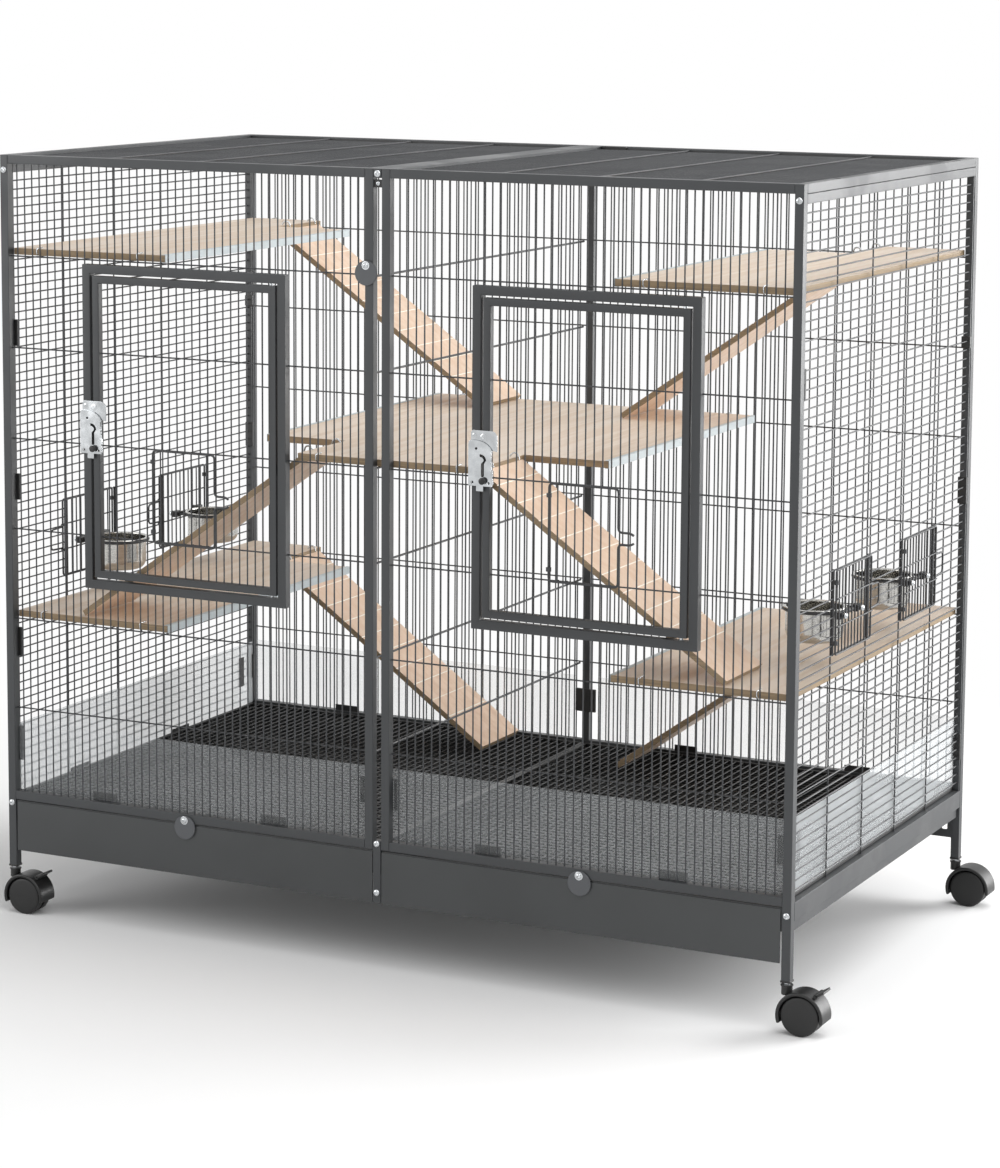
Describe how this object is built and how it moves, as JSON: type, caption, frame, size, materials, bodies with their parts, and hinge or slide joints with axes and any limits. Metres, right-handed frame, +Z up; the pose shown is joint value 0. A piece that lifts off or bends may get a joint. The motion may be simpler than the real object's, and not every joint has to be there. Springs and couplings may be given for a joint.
{
  "type": "ferret cage",
  "caption": "Wide two-module wire cage on casters with hinged doors and hatches, swing-out feeding bowls, pull-out litter trays, clear splash guards, wooden shelves and ramps.",
  "frame": {"origin": "on the floor, at the centre of the whole cage seen from above", "axes": "+X to the right along the wide front, +Y to the back, +Z up; the doors and trays open towards -Y"},
  "size_m": [1.2014, 0.684, 1.04],
  "materials": {
    "frame_paint": "fine matt powder coat, charcoal",
    "black_wire": "satin black powder coat",
    "disc_paint": "matt grey powder coat",
    "tray_paint": "satin charcoal powder coat",
    "latch_chrome": "polished",
    "bowl_steel": "satin",
    "wood": "pale board, lightly varnished",
    "clear_sheet": "clear",
    "caster_plastic": "satin black",
    "wheel_plastic": "satin black"
  },
  "bodies": {
    "frame": {"front_panel_left": "frame_paint", "rear_panel_left": "frame_paint", "roof_panel_left": "frame_paint", "side_panel_left": "frame_paint", "floor_grille_left": "black_wire", "splash_guard_front_left": "clear_sheet", "splash_guard_rear_left": "clear_sheet", "splash_guard_side_left": "clear_sheet", "front_panel_right": "frame_paint", "rear_panel_right": "frame_paint", "roof_panel_right": "frame_paint", "side_panel_right": "frame_paint", "floor_grille_right": "black_wire", "splash_guard_front_right": "clear_sheet", "splash_guard_rear_right": "clear_sheet", "splash_guard_side_right": "clear_sheet", "centre_rail": "frame_paint", "centre_beam": "frame_paint", "shelf_upper_left": "wood", "shelf_upper_right": "wood", "shelf_middle": "wood", "shelf_lower_left": "wood", "shelf_lower_right": "wood", "ramp_upper_left": "wood", "ramp_upper_right": "wood", "ramp_middle_left": "wood", "ramp_middle_right": "wood", "ramp_lower_left": "wood", "ramp_lower_right": "wood"},
    "door_left": {"door_left": "frame_paint", "latch_plate_left": "latch_chrome"},
    "hatch_left": {"hatch_left": "frame_paint"},
    "latch_slide_left": {"latch_slide_left": "latch_chrome"},
    "tray_left": {"tray_left": "tray_paint"},
    "tray_disc_left": {"tray_disc_left": "disc_paint"},
    "door_right": {"door_right": "frame_paint", "latch_plate_right": "latch_chrome"},
    "hatch_right": {"hatch_right": "frame_paint"},
    "latch_slide_right": {"latch_slide_right": "latch_chrome"},
    "tray_right": {"tray_right": "tray_paint"},
    "tray_disc_right": {"tray_disc_right": "disc_paint"},
    "post_disc": {"post_disc": "disc_paint"},
    "feeder_left_front": {"feeder_door_left_front": "frame_paint"},
    "bowl_left_front": {"feeder_bowl_left_front": "bowl_steel"},
    "feeder_left_rear": {"feeder_door_left_rear": "frame_paint"},
    "bowl_left_rear": {"feeder_bowl_left_rear": "bowl_steel"},
    "feeder_right_rear": {"feeder_door_right_rear": "frame_paint"},
    "bowl_right_rear": {"feeder_bowl_right_rear": "bowl_steel"},
    "feeder_right_front": {"feeder_door_right_front": "frame_paint"},
    "bowl_right_front": {"feeder_bowl_right_front": "bowl_steel"},
    "caster_front_left": {"caster_hood_front_left": "caster_plastic"},
    "wheel_front_left": {"caster_wheel_front_left": "wheel_plastic"},
    "brake_front_left": {"brake_lever_front_left": "caster_plastic"},
    "caster_front_right": {"caster_hood_front_right": "caster_plastic"},
    "wheel_front_right": {"caster_wheel_front_right": "wheel_plastic"},
    "brake_front_right": {"brake_lever_front_right": "caster_plastic"},
    "caster_rear_left": {"caster_hood_rear_left": "caster_plastic"},
    "wheel_rear_left": {"caster_wheel_rear_left": "wheel_plastic"},
    "caster_rear_right": {"caster_hood_rear_right": "caster_plastic"},
    "wheel_rear_right": {"caster_wheel_rear_right": "wheel_plastic"}
  },
  "joints": [
    {"name": "door_left_hinge", "type": "hinge", "parent": "frame", "child": "door_left", "pos_m": [-0.18035, -0.319, 0.681], "axis": [0, 0, 1], "range_deg": [0, 120]},
    {"name": "hatch_left_hinge", "type": "hinge", "parent": "door_left", "child": "hatch_left", "pos_m": [-0.3593, -0.3238, 0.595], "axis": [0, 0, -1], "range_deg": [0, 120]},
    {"name": "latch_left_lift", "type": "slide", "parent": "door_left", "child": "latch_slide_left", "axis": [0, 0, 1], "range_m": [0, 0.013]},
    {"name": "tray_left_slide", "type": "slide", "parent": "frame", "child": "tray_left", "axis": [0, -1, 0], "range_m": [0, 0.5]},
    {"name": "tray_disc_left_turn", "type": "hinge", "parent": "tray_left", "child": "tray_disc_left", "pos_m": [-0.31185, -0.3265, 0.165], "axis": [0, 1, 0], "range_deg": [0, 180]},
    {"name": "door_right_hinge", "type": "hinge", "parent": "frame", "child": "door_right", "pos_m": [0.40065, -0.319, 0.681], "axis": [0, 0, 1], "range_deg": [0, 120]},
    {"name": "hatch_right_hinge", "type": "hinge", "parent": "door_right", "child": "hatch_right", "pos_m": [0.2217, -0.3238, 0.595], "axis": [0, 0, -1], "range_deg": [0, 120]},
    {"name": "latch_right_lift", "type": "slide", "parent": "door_right", "child": "latch_slide_right", "axis": [0, 0, 1], "range_m": [0, 0.013]},
    {"name": "tray_right_slide", "type": "slide", "parent": "frame", "child": "tray_right", "axis": [0, -1, 0], "range_m": [0, 0.5]},
    {"name": "tray_disc_right_turn", "type": "hinge", "parent": "tray_right", "child": "tray_disc_right", "pos_m": [0.26915, -0.3265, 0.165], "axis": [0, 1, 0], "range_deg": [0, 180]},
    {"name": "post_disc_turn", "type": "hinge", "parent": "frame", "child": "post_disc", "pos_m": [-0.03675, -0.3265, 0.92], "axis": [0, 1, 0], "range_deg": [0, 180]},
    {"name": "feeder_left_front_hinge", "type": "hinge", "parent": "frame", "child": "feeder_left_front", "pos_m": [-0.59515, -0.0626, 0.5], "axis": [0, 0, -1], "range_deg": [0, 110]},
    {"name": "bowl_left_front_lift", "type": "slide", "parent": "feeder_left_front", "child": "bowl_left_front", "axis": [0, 0, 1], "range_m": [0, 0.06]},
    {"name": "feeder_left_rear_hinge", "type": "hinge", "parent": "frame", "child": "feeder_left_rear", "pos_m": [-0.59515, 0.1878, 0.5], "axis": [0, 0, -1], "range_deg": [0, 110]},
    {"name": "bowl_left_rear_lift", "type": "slide", "parent": "feeder_left_rear", "child": "bowl_left_rear", "axis": [0, 0, 1], "range_m": [0, 0.06]},
    {"name": "feeder_right_rear_hinge", "type": "hinge", "parent": "frame", "child": "feeder_right_rear", "pos_m": [0.55245, 0.0626, 0.5], "axis": [0, 0, -1], "range_deg": [0, 110]},
    {"name": "bowl_right_rear_lift", "type": "slide", "parent": "feeder_right_rear", "child": "bowl_right_rear", "axis": [0, 0, 1], "range_m": [0, 0.06]},
    {"name": "feeder_right_front_hinge", "type": "hinge", "parent": "frame", "child": "feeder_right_front", "pos_m": [0.55245, -0.1878, 0.5], "axis": [0, 0, -1], "range_deg": [0, 110]},
    {"name": "bowl_right_front_lift", "type": "slide", "parent": "feeder_right_front", "child": "bowl_right_front", "axis": [0, 0, 1], "range_m": [0, 0.06]},
    {"name": "caster_front_left_swivel", "type": "hinge", "parent": "frame", "child": "caster_front_left", "pos_m": [-0.59035, -0.319, 0.053], "axis": [0, 0, 1], "continuous": true},
    {"name": "wheel_front_left_roll", "type": "hinge", "parent": "caster_front_left", "child": "wheel_front_left", "pos_m": [-0.56835, -0.319, 0.025], "axis": [0, 1, 0], "continuous": true},
    {"name": "brake_front_left_press", "type": "hinge", "parent": "caster_front_left", "child": "brake_front_left", "pos_m": [-0.54868, -0.319, 0.0531], "axis": [0, 1, 0], "range_deg": [0, 20]},
    {"name": "caster_front_right_swivel", "type": "hinge", "parent": "frame", "child": "caster_front_right", "pos_m": [0.54765, -0.319, 0.053], "axis": [0, 0, 1], "continuous": true},
    {"name": "wheel_front_right_roll", "type": "hinge", "parent": "caster_front_right", "child": "wheel_front_right", "pos_m": [0.56965, -0.319, 0.025], "axis": [0, 1, 0], "continuous": true},
    {"name": "brake_front_right_press", "type": "hinge", "parent": "caster_front_right", "child": "brake_front_right", "pos_m": [0.58932, -0.319, 0.0531], "axis": [0, 1, 0], "range_deg": [0, 20]},
    {"name": "caster_rear_left_swivel", "type": "hinge", "parent": "frame", "child": "caster_rear_left", "pos_m": [-0.59035, 0.319, 0.053], "axis": [0, 0, 1], "continuous": true},
    {"name": "wheel_rear_left_roll", "type": "hinge", "parent": "caster_rear_left", "child": "wheel_rear_left", "pos_m": [-0.56835, 0.319, 0.025], "axis": [0, 1, 0], "continuous": true},
    {"name": "caster_rear_right_swivel", "type": "hinge", "parent": "frame", "child": "caster_rear_right", "pos_m": [0.54765, 0.319, 0.053], "axis": [0, 0, 1], "continuous": true},
    {"name": "wheel_rear_right_roll", "type": "hinge", "parent": "caster_rear_right", "child": "wheel_rear_right", "pos_m": [0.56965, 0.319, 0.025], "axis": [0, 1, 0], "continuous": true}
  ]
}
